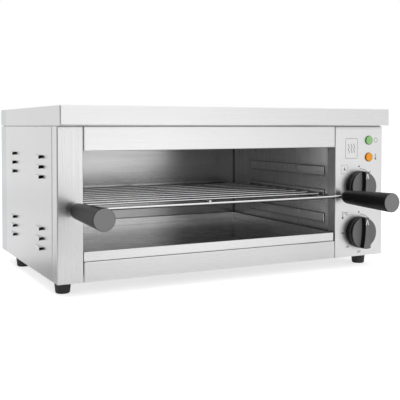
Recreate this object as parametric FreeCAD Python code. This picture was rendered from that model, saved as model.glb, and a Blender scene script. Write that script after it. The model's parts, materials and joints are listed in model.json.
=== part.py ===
import FreeCAD
import Part
import math
import os

# Countertop grill with top heat, a sliding wire grid and a sliding crumb tray.
# Lengths are in millimetres. x runs to the right, y to the back, z up from the table.
# The pieces are built with y = 0 at the front face of the casing. Each is then moved by
# to_origin, so that the origin lies at the bottom centre of the whole object's box.

# Sheet metal
sheet = 1.2
bend_radius = 1.6
seam = 0.5
overrun = 5.0
same_place = 0.001

# Casing
body_width = 600.0
body_depth = 370.6
body_height = 230.0
foot_height = 21.0
side_flange = 16.0
side_seam = 1.5
post_width = 39.5
panel_width = 104.0
jamb_depth = 21.0
corner_return = 25.0
base_flange = 10.0
base_gap = 0.3
top_apron_height = 36.6
lower_apron_height = 30.0
lower_apron_left_gap = 1.0

# Cover and the recessed ring that it rests on
shadow_gap = 1.5
shadow_depth = 3.0
ring_width = 16.0
cover_height = 29.4
cover_overhang = 17.7
cover_side_overhang = 0.4
cover_lip = 18.0

# Back panel
back_inset = 4.0
vent_length = 60.0
vent_width = 5.0
vent_pitch = 14.0
vent_count = 6
vent_bottom = 70.0

# Louvres lanced in the side panels
louvre_length = 40.0
louvre_height = 5.7
louvre_edge_height = 5.0
louvre_lift = 0.6
louvre_bulge = 5.2
louvre_tail_bulge = 0.4
louvre_wall = 0.7
louvre_pitch = 15.5
louvre_rows = 3
louvre_bottom_margin = 38.2
louvre_top_margin = 44.1
louvre_front_column = 83.0
louvre_back_margin = 71.4

# Cavity
liner_flange = 12.0
back_air_gap = 11.4
reflector_drop = 15.0
rib_height = 15.6
rib_depth = 2.0
rib_edge = 1.0
rib_front = 31.0
rib_back_gap = 73.0
rib_low = 60.1
rib_pitch = 41.6
rib_count = 3

# Grid runner angles on the middle ribs
runner_width = 8.0
runner_height = 9.2
runner_lift = 1.1

# Grid
slide_gap = 0.3
rail_radius = 2.0
rail_bend = 10.0
rail_side_gap = 6.0
grid_back_gap = 18.0
bar_radius = 2.5
bar_standoff = 7.3
bar_above_runner = 3.85
bar_bend = 8.0
wire_radius = 1.5
wire_overhang = 2.5
wire_count = 9
wire_first = 42.0
wire_last_gap = 22.8
brace_overhang = 8.0

# Handle grips on the ends of the front bar
grip_outset = 13.8
grip_tip = 130.0
grip_front_radius = 15.65
grip_back_radius = 11.8
grip_back_gap = 5.4
grip_dome = 16.0
grip_edge = 1.0
grip_end_wall = 20.0

# Crumb tray
tray_sheet = 1.0
tray_left_gap = 0.6
tray_right_gap = 4.0
tray_back_gap = 6.0
tray_height = 14.6
tray_lift = 0.4
tray_corner = 4.0
tray_hem = 3.0
tray_hem_height = 2.0

# Heating elements, under the reflector
element_radius = 4.0
element_drop = 9.0
element_legs = 4
element_first = 52.0
element_back_gap = 30.0
element_wall_gap = 20.0
element_tail = 24.0
element_pin_radius = 1.5
element_pin_length = 10.0
fitting_radius = 6.5
fitting_length = 8.0
hanger_offset = 130.0
hanger_drop = 15.0
hanger_foot = 10.0
hanger_margin = 17.0
hole_gap = 0.3

# Thermostat sensor in the cavity
bulb_radius = 3.0
bulb_length = 60.0
bulb_edge = 1.5
bulb_wall_gap = 8.0
capillary_radius = 0.9
capillary_bend = 6.0
capillary_lead = 8.0
capillary_run = 14.0
capillary_column = 18.0
clip_wall = 1.2
clip_stalk = 2.4
clip_length = 6.0
clip_inset = 8.0

# Controls
knob_gap = 1.0
knob_skirt_radius = 27.5
knob_skirt_height = 8.5
knob_radius = 26.4
knob_height = 14.8
knob_dish = 2.2
knob_grip_height = 8.0
knob_grip_tip = 4.75
knob_grip_waist = 4.1
knob_grip_tail = 8.5
knob_grip_radius = 27.2
knob_edge = 0.8
knob_wall = 3.0
knob_hub_radius = 8.0
knob_root = 1.2
knob_hollow_depth = 8.0
shaft_radius = 3.0
shaft_flat = 2.0
shaft_flat_length = 6.0
shaft_reach = 12.5
shaft_root = 8.0
shaft_fit = 0.05
collar_radius = 5.0
collar_gap = 0.2
timer_height_share = 0.5374
thermostat_height_share = 0.1857
control_plate_width = 50.0
control_plate_height = 30.0
control_plate_sheet = 2.0
timer_can_radius = 22.0
timer_can_depth = 38.0
thermostat_width = 36.0
thermostat_depth = 30.0
control_screw_offset = 14.0

# Lamps
lamp_offset = 21.6
green_lamp_height_share = 0.8926
orange_lamp_height_share = 0.7617
lens_radius = 8.0
lens_height = 2.6
lens_edge = 1.8
lamp_radius = 6.5
lamp_depth = 32.0
lamp_nut_radius = 9.0
lamp_nut_height = 3.0

# Parts in the control compartment
shield_gap = 3.0
shield_drop = 40.0
shield_foot = 6.0
shield_margin = 8.0
terminal_width = 50.0
terminal_depth = 18.0
terminal_height = 22.0
terminal_ways = 4
terminal_well = 3.0
terminal_well_depth = 8.0
terminal_back_gap = 30.0
cutout_radius = 8.0
cutout_height = 10.0
cutout_ear_length = 32.0
cutout_ear_width = 9.0
cutout_side = 46.0
cutout_back_gap = 58.0
stud_radius = 2.5
stud_height = 18.0
stud_back_gap = 68.0
lead_radius = 1.4
lead_bend = 5.0
lead_offset = 6.0
lead_step = 12.0
lead_run = 24.0

# Cable gland, with no cable in it
gland_height = 30.0
gland_radius = 10.0
gland_length = 14.0
gland_nut_radius = 12.0
gland_nut_height = 5.0
gland_bore = 5.0
gland_edge = 2.0

# Feet
foot_side_inset = 20.0
foot_front = 41.6
foot_back_margin = 84.6
foot_top_radius = 13.1
foot_bottom_radius = 10.9
foot_edge = 2.6
foot_recess_radius = 5.0
foot_recess_depth = 9.0

# Screws
screw_radius = 2.0
screw_head_radius = 3.5
screw_head_height = 1.8
screw_length = 6.0
cover_screw_length = 8.0
cover_screw_inset = 9.0
cover_screw_front = 60.0
cover_screw_back_margin = 49.4
screw_edge = 0.9
screw_gap = 0.1
foot_screw_radius = 2.5
foot_screw_head_radius = 4.5
foot_screw_head_height = 3.0
foot_nut_radius = 4.6
foot_nut_height = 4.0
hex_sides = 6
back_screw_inset = 8.0
back_screw_margin = 24.25
back_screw_rows = 3

# Levels and lines that follow from these sizes
base = foot_height
base_top = base + sheet
body_top = base + body_height
ring_top = body_top + shadow_gap
cover_top = ring_top + cover_height
casing_back = body_depth - sheet
half_width = body_width / 2
opening_left = -half_width + post_width
opening_right = half_width - panel_width
opening_middle = (opening_left + opening_right) / 2
floor_top = base + lower_apron_height
liner_front = jamb_depth + seam
liner_back_line = casing_back - back_air_gap
liner_back_end = casing_back - sheet - base_gap - bend_radius - seam
louvre_foot = louvre_lift + louvre_wall
reflector_bottom = body_top - reflector_drop
louvre_back_column = casing_back - louvre_back_margin - louvre_length
louvre_low_row = base + louvre_bottom_margin
louvre_high_row = body_top - louvre_top_margin - louvre_height - (louvre_rows - 1) * louvre_pitch
back_screw_pitch = (body_height - 2 * back_screw_margin) / (back_screw_rows - 1)
cover_screw_back = casing_back - cover_screw_back_margin
left_rib_face = opening_left + rib_depth
right_rib_face = opening_right - rib_depth
rib_back = liner_back_line - rib_back_gap
middle_rib = base + rib_low + rib_pitch
runner_top = middle_rib + runner_lift + sheet
rail_level = runner_top + slide_gap + rail_radius
wire_level = rail_level + rail_radius + wire_radius
bar_level = runner_top + bar_above_runner
left_rail = left_rib_face + rail_side_gap
right_rail = right_rib_face - rail_side_gap
grid_depth = liner_back_line - grid_back_gap
wire_pitch = (grid_depth - wire_last_gap - wire_first) / (wire_count - 1)
element_level = reflector_bottom - element_drop
element_last = liner_back_line - element_back_gap
element_pitch = (element_last - element_first) / (2 * element_legs - 1)
bulb_room = (element_legs - 1) * element_pitch
bulb_start = element_first + (bulb_room - bulb_length - capillary_lead) / 2
control_axis = opening_right + panel_width / 2
timer_height = body_height * timer_height_share
thermostat_height = body_height * thermostat_height_share
green_lamp_height = body_height * green_lamp_height_share
orange_lamp_height = body_height * orange_lamp_height_share
knob_back = -knob_gap
knob_face = knob_back - knob_height
foot_x = half_width - foot_side_inset
foot_back = body_depth - foot_back_margin
gland_face = body_depth + gland_length
to_origin = FreeCAD.Vector(0, (grip_tip - gland_face) / 2, 0)

x_way = FreeCAD.Vector(1, 0, 0)
y_way = FreeCAD.Vector(0, 1, 0)
z_way = FreeCAD.Vector(0, 0, 1)
full_turn = 360


def point(x, y, z):
    return FreeCAD.Vector(x, y, z)


def block(x, y, z):
    """Box between the low and high value of each pair."""
    return Part.makeBox(x[1] - x[0], y[1] - y[0], z[1] - z[0], point(x[0], y[0], z[0]))


def around(middle, size):
    return (middle - size / 2, middle + size / 2)


def span(one, other):
    return (min(one, other), max(one, other))


def rod(start, end, radius):
    way = end - start
    return Part.makeCylinder(radius, way.Length, start, way)


def hexagon(centre, way, radius, height):
    """Hexagonal prism on an axis along y or z."""
    side = z_way if way.z == 0 else x_way
    corners = []
    for k in range(hex_sides):
        turn = FreeCAD.Rotation(way, k * full_turn / hex_sides)
        corners.append(centre + turn.multVec(side * radius))
    return Part.Face(Part.makePolygon(corners + corners[:1])).extrude(way * height)


def line(start, end):
    return Part.LineSegment(start, end).toShape()


def arc(start, middle, end):
    return Part.Arc(start, middle, end).toShape()


def smooth(places):
    """Smooth curve through a row of places."""
    curve = Part.BSplineCurve()
    curve.interpolate(places)
    return curve.toShape()


def bent_path(points, bend):
    """Straight runs through the points, with a tangent arc of radius bend at each corner."""
    edges = []
    start = points[0]
    for before, corner, after in zip(points, points[1:], points[2:]):
        arriving = (corner - before).normalize()
        leaving = (after - corner).normalize()
        turn = arriving.getAngle(leaving)
        cut = bend * math.tan(turn / 2)
        arc_start = corner - arriving * cut
        arc_end = corner + leaving * cut
        inward = (leaving - arriving).normalize()
        arc_middle = corner + inward * (bend / math.cos(turn / 2) - bend)
        edges.append(line(start, arc_start))
        edges.append(arc(arc_start, arc_middle, arc_end))
        start = arc_end
    edges.append(line(start, points[-1]))
    return edges


def swept(edges, radius):
    """Round rod along a path of lines and tangent arcs."""
    path = Part.Wire(edges)
    start = edges[0].Vertexes[0].Point
    way = edges[0].tangentAt(edges[0].FirstParameter)
    section = Part.Wire([Part.makeCircle(radius, start, way)])
    return path.makePipeShell([section], True, False)


def bent_rod(points, bend, radius):
    return swept(bent_path(points, bend), radius)


def on_plane(shape, axis, value):
    box = shape.BoundBox
    low = (box.XMin, box.YMin, box.ZMin)[axis]
    high = (box.XMax, box.YMax, box.ZMax)[axis]
    return abs(low - value) < same_place and abs(high - value) < same_place


def is_rim(edge, centre):
    return edge.Closed and edge.CenterOfMass.isEqual(centre, same_place)


def rounded_block(x, y, z, radius, flat_axis, flat_value):
    """Box with all its edges rounded but those on one side."""
    solid = block(x, y, z)
    edges = [edge for edge in solid.Edges if not on_plane(edge, flat_axis, flat_value)]
    return solid.makeFillet(radius, edges)


def pan(x, y, z, open_side):
    """Sheet with its four sides folded. open_side is the axis letter after its sign, such as +y."""
    axis = "xyz".index(open_side[1])
    end = 1 if open_side[0] == "+" else 0
    spans = [x, y, z]
    inner = [(low + sheet, high - sheet) for low, high in spans]
    low, high = inner[axis]
    inner[axis] = (low, spans[axis][1] + overrun) if end else (spans[axis][0] - overrun, high)
    outer = rounded_block(x, y, z, bend_radius, axis, spans[axis][end])
    hollow = rounded_block(*inner, bend_radius - sheet, axis, inner[axis][end])
    return outer.cut(hollow)


def rounded(shape, radius, wanted):
    """Shape with the wanted edges rounded."""
    edges = [edge for edge in shape.Edges if wanted(edge)]
    return shape.makeFillet(radius, edges)


def button(start, end, radius, edge_radius):
    """Rod with a rounded rim at its end."""
    return rounded(rod(start, end, radius), edge_radius, lambda edge: is_rim(edge, end))


def hole(place, way, radius):
    """Rod that reaches past thin sheet on both sides of a place."""
    return rod(place - way * overrun, place + way * overrun, radius)


def save(name, shapes):
    """Write one node: a solid, or a group of alike solids."""
    solids = []
    for shape in shapes:
        moved = shape.copy()
        moved.translate(to_origin)
        solids.extend(moved.removeSplitter().Solids)
    node = solids[0] if len(solids) == 1 else Part.makeCompound(solids)
    node.exportStep(os.path.join("parts", name + ".step"))


# Casing

def on_base(piece):
    """Piece cut off at the bottom of the casing, with room behind it for the base pan."""
    wide = half_width + overrun
    below = block((-wide, wide), (-overrun, body_depth), (base - overrun - overrun, base))
    room = block(
        (-half_width + sheet, half_width - sheet),
        (sheet, body_depth),
        (base, base + base_flange + base_gap),
    )
    return piece.cut([below, room])


def jamb_room(edge):
    """Room for the cavity wall behind a folded jamb at an edge of the opening."""
    return block(
        (edge - overrun, edge + overrun),
        (jamb_depth, corner_return + overrun),
        (base, body_top + overrun),
    )


def make_front_post():
    post = pan((-half_width, opening_left), (0, corner_return), (base - overrun, body_top), "+y")
    return on_base(post).cut(jamb_room(opening_left))


def make_control_panel():
    panel = pan((opening_right, half_width), (0, corner_return), (base - overrun, body_top), "+y")
    cuts = [jamb_room(opening_right)]
    for height in (timer_height, thermostat_height):
        cuts.append(hole(control_centre(height, 0), y_way, collar_radius + collar_gap))
        for place in control_screw_places(height):
            cuts.append(hole(place, y_way, screw_radius + screw_gap))
    for height in (green_lamp_height, orange_lamp_height):
        cuts.append(hole(lamp_centre(height, 0), y_way, lamp_radius + screw_gap))
    return on_base(panel).cut(cuts)


def make_top_apron():
    x = (opening_left + seam, opening_right - seam)
    return pan(x, (0, jamb_depth), (body_top - top_apron_height, body_top), "+y")


def make_lower_apron():
    x = (opening_left + lower_apron_left_gap, opening_right - seam)
    return on_base(pan(x, (0, jamb_depth), (base - overrun, floor_top), "+y"))


def make_base_pan():
    inset = sheet + base_gap
    x = (-half_width + inset, half_width - inset)
    tray = pan(x, (inset, casing_back - inset), (base, base + base_flange), "+z")
    radius = foot_screw_radius + screw_gap
    return tray.cut([hole(place + z_way * base, z_way, radius) for place in foot_places()])


def hood(y, bottom, side):
    """Louvre hood on the left or right side panel (side is -1 or 1), open at its front."""
    wall = side * half_width
    inside = wall - side * sheet

    def section(place, bulge, lowest):
        outer = wall + side * bulge
        inner = outer - side * louvre_wall
        top = bottom + louvre_height
        shoulder = bottom + louvre_edge_height
        corners = [
            point(wall, place, top),
            point(outer, place, shoulder),
            point(outer, place, lowest),
            point(wall, place, bottom + louvre_lift),
            point(inside, place, bottom + louvre_lift),
            point(inside, place, bottom + louvre_foot),
            point(inner, place, lowest + louvre_wall),
            point(inner, place, shoulder - louvre_wall),
            point(inside, place, top - louvre_wall),
            point(inside, place, top),
        ]
        return Part.makePolygon(corners + corners[:1])

    mouth = section(y, louvre_bulge, bottom)
    tail = section(y + louvre_length, louvre_tail_bulge, bottom + louvre_lift)
    return Part.makeLoft([mouth, tail], True, True)


def louvre_places():
    places = []
    for column in (louvre_front_column, louvre_back_column):
        for low_row in (louvre_low_row, louvre_high_row):
            for row in range(louvre_rows):
                places.append((column, low_row + row * louvre_pitch))
    return places


def make_side_panel(side):
    """Side panel with folded edges and louvres. side is -1 for left and 1 for right."""
    y = (corner_return + side_seam, casing_back)
    z = (base - overrun, body_top)
    if side < 0:
        panel = pan((-half_width, -half_width + side_flange), y, z, "+x")
    else:
        panel = pan((half_width - side_flange, half_width), y, z, "-x")
    panel = on_base(panel)
    wall = side * half_width
    for place, bottom in louvre_places():
        slot = block(
            (wall - sheet, wall + sheet),
            (place, place + louvre_length),
            (bottom + louvre_lift, bottom + louvre_height),
        )
        panel = panel.cut(slot).fuse(hood(place, bottom, side))
    back_holes = [hole(place, y_way, screw_radius) for place in back_screw_places()]
    top_holes = [hole(place, z_way, screw_radius + screw_gap) for place in cover_screw_places()]
    return panel.cut(back_holes + top_holes)


def make_top_frame():
    wide = half_width - shadow_depth
    frame = block((-wide, wide), (shadow_depth, casing_back - shadow_depth), (body_top, ring_top))
    inset = shadow_depth + ring_width
    inside = block(
        (-half_width + inset, half_width - inset),
        (inset, casing_back - inset),
        (body_top - overrun, ring_top + overrun),
    )
    holes = [hole(place, z_way, screw_radius + screw_gap) for place in cover_screw_places()]
    return frame.cut([inside] + holes)


def make_top_cover():
    wide = half_width + cover_side_overhang
    outer = block((-wide, wide), (-cover_overhang, casing_back), (ring_top, cover_top))
    outer = outer.makeFillet(bend_radius, outer.Edges)
    hollow = block(
        (-wide + sheet, wide - sheet),
        (-cover_overhang + sheet, casing_back - sheet),
        (ring_top + sheet, cover_top - sheet),
    )
    hollow = hollow.makeFillet(bend_radius - sheet, hollow.Edges)
    opening = block(
        (-half_width + cover_lip, half_width - cover_lip),
        (cover_lip, casing_back - cover_lip),
        (ring_top - overrun, ring_top + sheet + sheet),
    )
    reach = z_way * cover_screw_length
    holes = [rod(place, place + reach, screw_radius) for place in cover_screw_places()]
    return outer.cut([hollow, opening] + holes)


def cover_screw_places():
    """Points on the underside of the top flanges of the side panels."""
    places = []
    for x in (-half_width + cover_screw_inset, half_width - cover_screw_inset):
        for y in (cover_screw_front, cover_screw_back):
            places.append(point(x, y, body_top - sheet))
    return places


def back_screw_places():
    """Points on the back of the casing where the back panel is screwed on."""
    places = []
    for x in (-half_width + back_screw_inset, half_width - back_screw_inset):
        for row in range(back_screw_rows):
            height = base + back_screw_margin + row * back_screw_pitch
            places.append(point(x, casing_back, height))
    return places


def gland_centre(y):
    return point(control_axis, y, base + gland_height)


def vent(bottom):
    """Cutter for a slot with round ends in the back panel."""
    reach = (vent_length - vent_width) / 2
    level = bottom + vent_width / 2
    middle = block(
        (control_axis - reach, control_axis + reach),
        (casing_back - overrun, casing_back + overrun),
        (bottom, bottom + vent_width),
    )
    left = point(control_axis - reach, casing_back, level)
    right = point(control_axis + reach, casing_back, level)
    return middle.fuse([hole(left, y_way, vent_width / 2), hole(right, y_way, vent_width / 2)])


def make_back_panel():
    x = (-half_width + back_inset, half_width - back_inset)
    panel = block(x, (casing_back, body_depth), (base + back_inset, body_top - back_inset))
    panel = rounded(panel, back_inset, lambda edge: edge.BoundBox.YLength > sheet / 2)
    cuts = [vent(base + vent_bottom + row * vent_pitch) for row in range(vent_count)]
    cuts.extend(hole(place, y_way, screw_radius + screw_gap) for place in back_screw_places())
    cuts.append(hole(gland_centre(casing_back), y_way, gland_radius))
    return panel.cut(cuts)


def screw(seat, way, length):
    """Domed screw. seat is under its head, and way points from the head into the work."""
    head = button(seat, seat - way * screw_head_height, screw_head_radius, screw_edge)
    return head.fuse(rod(seat, seat + way * length, screw_radius))


def make_back_screws():
    seats = [point(place.x, body_depth, place.z) for place in back_screw_places()]
    return [screw(seat, -y_way, screw_length) for seat in seats]


def make_cover_screws():
    return [screw(place, z_way, cover_screw_length) for place in cover_screw_places()]


# Feet

def foot_places():
    return [point(x, y, 0) for x in (-foot_x, foot_x) for y in (foot_front, foot_back)]


def make_foot(centre):
    """Tapered rubber foot with a rounded lower edge and a recess for its screw."""
    foot = Part.makeCone(foot_bottom_radius, foot_top_radius, foot_height, centre)
    foot = rounded(foot, foot_edge, lambda edge: is_rim(edge, centre))
    recess = rod(centre, centre + z_way * foot_recess_depth, foot_recess_radius)
    return foot.cut([recess, rod(centre, centre + z_way * foot_height, foot_screw_radius + screw_gap)])


def make_foot_screw(centre):
    seat = centre + z_way * foot_recess_depth
    length = base_top - foot_recess_depth + foot_nut_height
    head = rod(seat - z_way * foot_screw_head_height, seat, foot_screw_head_radius)
    return head.fuse(rod(seat, seat + z_way * length, foot_screw_radius))


def make_foot_nut(centre):
    seat = centre + z_way * base_top
    nut = hexagon(seat, z_way, foot_nut_radius, foot_nut_height)
    return nut.cut(hole(seat, z_way, foot_screw_radius))


# Cavity

def rib(side, bottom):
    """Pressed rib on a side wall, as its raised outside and the hollow behind it."""
    wall = opening_left if side < 0 else opening_right
    face = wall - side * rib_depth
    back = wall + side * (sheet + overrun)
    pad = block(span(wall, face), (rib_front, rib_back), (bottom, bottom + rib_height))
    pad = rounded(pad, rib_edge, lambda edge: on_plane(edge, 0, face))
    hollow = block(
        span(back, face + side * sheet),
        (rib_front + sheet, rib_back - sheet),
        (bottom + sheet, bottom + rib_height - sheet),
    )
    return pad, hollow


def make_liner_side(side):
    """Side wall of the cavity with its ribs. side is -1 for left and 1 for right."""
    y = (liner_front, liner_back_line)
    z = (floor_top, reflector_bottom)
    if side < 0:
        wall = pan((opening_left - liner_flange, opening_left), y, z, "-x")
    else:
        wall = pan((opening_right, opening_right + liner_flange), y, z, "+x")
    for k in range(rib_count):
        pad, hollow = rib(side, base + rib_low + k * rib_pitch)
        wall = wall.fuse(pad).cut(hollow)
    if side < 0:
        return wall
    cuts = [hole(capillary_entry(), x_way, capillary_radius + hole_gap)]
    for y_leg in terminal_legs():
        cuts.append(hole(point(opening_right, y_leg, element_level), x_way, element_radius + hole_gap))
    return wall.cut(cuts)


def make_liner_back():
    x = (opening_left - liner_flange, opening_right + liner_flange)
    y = (liner_back_line, liner_back_end)
    return pan(x, y, (base_top, reflector_bottom), "+y")


def make_liner_floor():
    x = (opening_left - liner_flange, opening_right + liner_flange)
    return pan(x, (liner_front, liner_back_line), (base_top, floor_top), "-z")


def make_reflector():
    """Plate over the heating elements, with its front turned down behind the top apron."""
    x = (opening_left - liner_flange, opening_right + liner_flange)
    plate = block(x, (liner_front, liner_back_line), (reflector_bottom, reflector_bottom + sheet))
    skirt = block(
        (opening_left + seam, opening_right - seam),
        (liner_front, liner_front + sheet),
        (body_top - top_apron_height, reflector_bottom + sheet),
    )
    return plate.fuse(skirt)


def make_runner(side):
    """Angle on the middle rib. The grid's side rail lies on its lower leg."""
    face = left_rib_face if side < 0 else right_rib_face
    y = (rib_front + rib_edge, rib_back - rib_edge)
    bottom = runner_top - sheet
    leg = block(span(face, face - side * runner_width), y, (bottom, runner_top))
    upright = block(span(face, face - side * sheet), y, (bottom, bottom + runner_height))
    return leg.fuse(upright)


# Grid

def grip_x(side):
    if side < 0:
        return opening_left - grip_outset
    return opening_right + grip_outset


def make_front_bar():
    """Front bar, bent forward at both ends into the handle grips."""
    y = -bar_standoff
    end = -grip_tip + grip_end_wall
    points = [
        point(grip_x(-1), end, bar_level),
        point(grip_x(-1), y, bar_level),
        point(grip_x(1), y, bar_level),
        point(grip_x(1), end, bar_level),
    ]
    return bent_rod(points, bar_bend, bar_radius)


def make_grid_frame(bar):
    """Two side rails and the back rail, bent from one rod and fitted to the front bar."""
    points = [
        point(left_rail, -bar_standoff, rail_level),
        point(left_rail, grid_depth, rail_level),
        point(right_rail, grid_depth, rail_level),
        point(right_rail, -bar_standoff, rail_level),
    ]
    return bent_rod(points, rail_bend, rail_radius).cut(bar)


def make_grid_brace(frame):
    """Rod under the wires, from the back rail to just past the first wire."""
    start = point(opening_middle, wire_first - brace_overhang, rail_level)
    end = point(opening_middle, grid_depth, rail_level)
    return rod(start, end, rail_radius).cut(frame)


def make_grid_wires():
    wires = []
    for k in range(wire_count):
        y = wire_first + k * wire_pitch
        start = point(left_rail - wire_overhang, y, wire_level)
        end = point(right_rail + wire_overhang, y, wire_level)
        wires.append(rod(start, end, wire_radius))
    return wires


def make_grip(side, bar):
    """Tapered grip with a domed back end, moulded on the end of the bar."""
    front = point(grip_x(side), -grip_tip, bar_level)
    taper_length = grip_tip - grip_back_gap - grip_dome
    taper = Part.makeCone(grip_front_radius, grip_back_radius, taper_length, front, y_way)
    taper = rounded(taper, grip_edge, lambda edge: is_rim(edge, front))
    middle = front + y_way * taper_length
    tip = middle + y_way * grip_dome
    rim = middle + x_way * grip_back_radius
    curve = Part.ArcOfEllipse(Part.Ellipse(tip, rim, middle), 0, math.pi / 2).toShape()
    outline = Part.Wire([line(middle, tip), curve, line(rim, middle)])
    dome = Part.Face(outline).revolve(middle, y_way, full_turn)
    return taper.fuse(Part.Solid(dome.Shells[0])).cut(bar)


# Crumb tray

def make_tray():
    x = (opening_left + tray_left_gap, opening_right - tray_right_gap)
    y = (0, liner_back_line - tray_back_gap)
    bottom = floor_top + tray_lift
    z = (bottom, bottom + tray_height)
    outer = block(x, y, z)
    outer = rounded(outer, bend_radius, lambda edge: on_plane(edge, 2, z[0]))
    hollow = block(
        (x[0] + tray_sheet, x[1] - tray_sheet),
        (y[0] + tray_sheet, y[1] - tray_sheet),
        (z[0] + tray_sheet, z[1] + overrun),
    )
    hollow = rounded(hollow, tray_corner, lambda edge: edge.BoundBox.ZLength > tray_height / 2)
    tray = outer.cut(hollow)
    hem = block((x[0] + tray_corner, x[1] - tray_corner), (0, tray_hem), (z[1] - tray_hem_height, z[1]))
    tray = tray.fuse(hem)
    return rounded(tray, tray_sheet / 2, lambda edge: on_plane(edge, 2, z[1]) and on_plane(edge, 1, 0))


# Heating elements

def element_leg(number):
    return element_first + number * element_pitch


def terminal_legs():
    """Places of the legs that pass through the right wall."""
    return [element_leg(k) for k in (0, element_legs - 1, element_legs, 2 * element_legs - 1)]


def make_element(first_leg):
    """Tubular element folded into legs that run left and right, with a pin at each end."""
    turn = element_pitch / 2
    left = opening_left + element_wall_gap + turn
    right = opening_right - element_wall_gap - turn
    end = opening_right + element_tail
    edges = []
    here = point(end, element_leg(first_leg), element_level)
    for k in range(element_legs):
        y = element_leg(first_leg + k)
        goes_left = k % 2 == 0
        last = k == element_legs - 1
        far_x = left if goes_left else right
        target = point(end if last else far_x, y, element_level)
        edges.append(line(here, target))
        if not last:
            way = -turn if goes_left else turn
            here = target + y_way * element_pitch
            edges.append(arc(target, target + point(way, turn, 0), here))
    element = swept(edges, element_radius)
    for k in (0, element_legs - 1):
        tip = point(end, element_leg(first_leg + k), element_level)
        element = element.fuse(rod(tip, tip + x_way * element_pin_length, element_pin_radius))
    return element


def make_fittings():
    fittings = []
    for y in terminal_legs():
        seat = point(opening_right + sheet, y, element_level)
        far = seat + x_way * fitting_length
        body = rod(seat, far, fitting_radius)
        fittings.append(body.cut(rod(seat - x_way * overrun, far + x_way * overrun, element_radius)))
    return fittings


def make_hangers():
    hangers = []
    y = (element_first - hanger_margin, element_last + hanger_margin)
    for x in (opening_middle - hanger_offset, opening_middle + hanger_offset):
        strip = block((x, x + sheet), y, (reflector_bottom - hanger_drop, reflector_bottom))
        foot = block((x, x + hanger_foot), y, (reflector_bottom - sheet, reflector_bottom))
        hanger = strip.fuse(foot)
        legs = [point(x, element_leg(k), element_level) for k in range(2 * element_legs)]
        hangers.append(hanger.cut([hole(leg, x_way, element_radius + hole_gap) for leg in legs]))
    return hangers


# Thermostat sensor

def bulb_line(y):
    return point(opening_right - bulb_wall_gap, y, element_level)


def capillary_entry():
    return point(opening_right, bulb_start + bulb_length + capillary_lead, element_level)


def make_bulb():
    bulb = rod(bulb_line(bulb_start), bulb_line(bulb_start + bulb_length), bulb_radius)
    return rounded(bulb, bulb_edge, lambda edge: edge.Closed)


def make_bulb_clips():
    clips = []
    for y in (bulb_start + clip_inset, bulb_start + bulb_length - clip_inset - clip_length):
        start = bulb_line(y)
        end = bulb_line(y + clip_length)
        ring = rod(start, end, bulb_radius + clip_wall)
        stalk = block((start.x, opening_right), (start.y, end.y), around(element_level, clip_stalk))
        clips.append(ring.fuse(stalk).cut(rod(start, end, bulb_radius)))
    return clips


def make_capillary():
    """Thin tube from the sensor, through the right wall and down to the thermostat."""
    entry = capillary_entry()
    column = opening_right + liner_flange + capillary_column
    low = base + thermostat_height
    back = sheet + control_plate_sheet + thermostat_depth
    points = [
        bulb_line(bulb_start + bulb_length),
        bulb_line(entry.y),
        point(column, entry.y, element_level),
        point(column, entry.y, low),
        point(column, back + capillary_run, low),
        point(control_axis, back + capillary_run, low),
        point(control_axis, back, low),
    ]
    return bent_rod(points, capillary_bend, capillary_radius)


# Controls

def control_centre(height, y):
    return point(control_axis, y, base + height)


def control_screw_places(height):
    centre = control_centre(height, 0)
    return [centre - x_way * control_screw_offset, centre + x_way * control_screw_offset]


def make_shaft(height):
    """Shaft with a flat on its front end."""
    shaft = rod(control_centre(height, -shaft_reach), control_centre(height, shaft_root), shaft_radius)
    flat = block(
        (control_axis - overrun, control_axis + overrun),
        (-shaft_reach - overrun, -shaft_reach + shaft_flat_length),
        (base + height + shaft_flat, base + height + overrun),
    )
    return shaft.cut(flat)


def make_control_body(height, can):
    """Body behind the panel: its plate, its can, and the collar that guides the shaft."""
    plate = block(
        around(control_axis, control_plate_width),
        (sheet, sheet + control_plate_sheet),
        around(base + height, control_plate_height),
    )
    collar = rod(control_centre(height, 0), control_centre(height, sheet), collar_radius)
    bore = rod(
        control_centre(height, -overrun),
        control_centre(height, shaft_root + shaft_fit),
        shaft_radius + shaft_fit,
    )
    depth = y_way * (screw_length + seam)
    threads = [rod(place, place + depth, screw_radius) for place in control_screw_places(height)]
    return plate.fuse([can, collar]).cut([bore] + threads)


def make_timer_body():
    front = control_centre(timer_height, sheet + control_plate_sheet)
    can = rod(front, front + y_way * timer_can_depth, timer_can_radius)
    return make_control_body(timer_height, can)


def make_thermostat_body():
    front = sheet + control_plate_sheet
    can = block(
        around(control_axis, thermostat_width),
        (front, front + thermostat_depth),
        around(base + thermostat_height, thermostat_width),
    )
    return make_control_body(thermostat_height, can)


def make_control_screws():
    places = control_screw_places(timer_height) + control_screw_places(thermostat_height)
    return [screw(place, y_way, screw_length) for place in places]


def knob_drum(height):
    """Round body of the knob, with its wider skirt and its dished face."""
    back = control_centre(height, knob_back)
    step = control_centre(height, knob_back - knob_skirt_height)
    face = control_centre(height, knob_face)
    skirt = button(back, step, knob_skirt_radius, knob_edge)
    drum = button(step, face, knob_radius, knob_edge).fuse(skirt)
    dish_radius = (knob_radius ** 2 + knob_dish ** 2) / (2 * knob_dish)
    middle = face - y_way * (dish_radius - knob_dish)
    reach = z_way * (knob_radius + overrun)
    return drum.cut(rod(middle - reach, middle + reach, dish_radius))


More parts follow.
